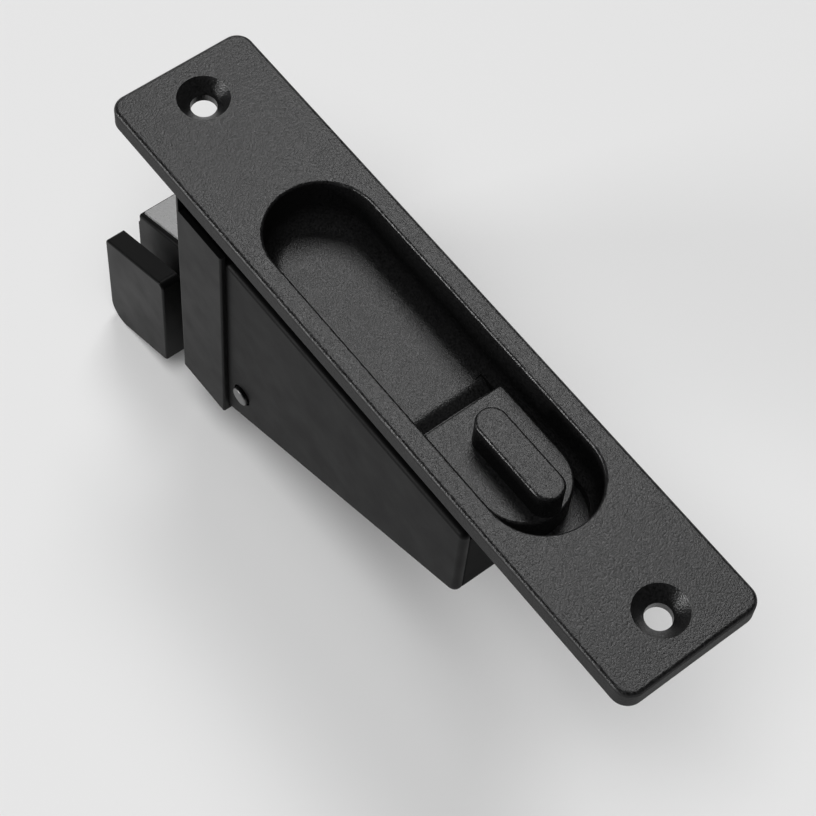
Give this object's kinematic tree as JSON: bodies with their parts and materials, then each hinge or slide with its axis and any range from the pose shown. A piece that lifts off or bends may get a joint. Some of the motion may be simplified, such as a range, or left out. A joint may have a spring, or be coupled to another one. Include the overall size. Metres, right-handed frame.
{
  "type": "sliding window latch",
  "caption": "Flush sliding-window latch with a pull cup, a thumb slider and a wedge case that carries a swinging hook.",
  "frame": {"origin": "centre of the faceplate's back face, halfway between its two screw holes", "axes": "+X along the faceplate, away from the hook; +Z out of the faceplate's front; +Y across the plate, away from the hook's paddle"},
  "size_m": [0.1672, 0.033, 0.087],
  "materials": {
    "plate_coat": "fine-textured black powder coat",
    "case_coat": "smooth satin black",
    "hook_coat": "smooth satin black",
    "black_screw": "black oxide",
    "bare_steel": "bare satin steel",
    "plated_steel": "zinc plated",
    "bush_bronze": "sintered bronze",
    "spring_steel": "drawn wire"
  },
  "bodies": {
    "case": {"faceplate": "plate_coat", "case_frame": "case_coat", "near_side_cover": "case_coat", "far_side_cover": "case_coat", "nose_cap": "case_coat", "cap_screw": "black_screw", "case_screws": "plated_steel", "guide_pins": "plated_steel", "tie_pin": "plated_steel", "spring_guide": "plated_steel", "return_spring": "spring_steel", "pivot_rivet": "bare_steel", "hook_spacer_near": "plated_steel", "hook_spacer_far": "plated_steel"},
    "slider": {"thumb_slider": "plate_coat", "slider_washer": "plated_steel", "slider_screw": "plated_steel", "slide_bar": "plated_steel", "drive_pin": "bare_steel"},
    "hook": {"hook": "hook_coat", "hook_wear_plate": "bare_steel", "hook_bush": "bush_bronze"}
  },
  "joints": [
    {"name": "thumb_slide", "type": "slide", "parent": "case", "child": "slider", "axis": [1, 0, 0], "range_m": [0, 0.005], "stiffness_N_per_m": 300, "springref_m": -0.01, "deforming": ["return_spring"]},
    {"name": "hook_swing", "type": "hinge", "parent": "case", "child": "hook", "pos_m": [-0.0373, 0, -0.0539], "axis": [0, 1, 0], "range_deg": [0, 15.9]}
  ],
  "couplings": [
    {"joint": "hook_swing", "follows": "thumb_slide", "rad_per_m": 55.202}
  ]
}
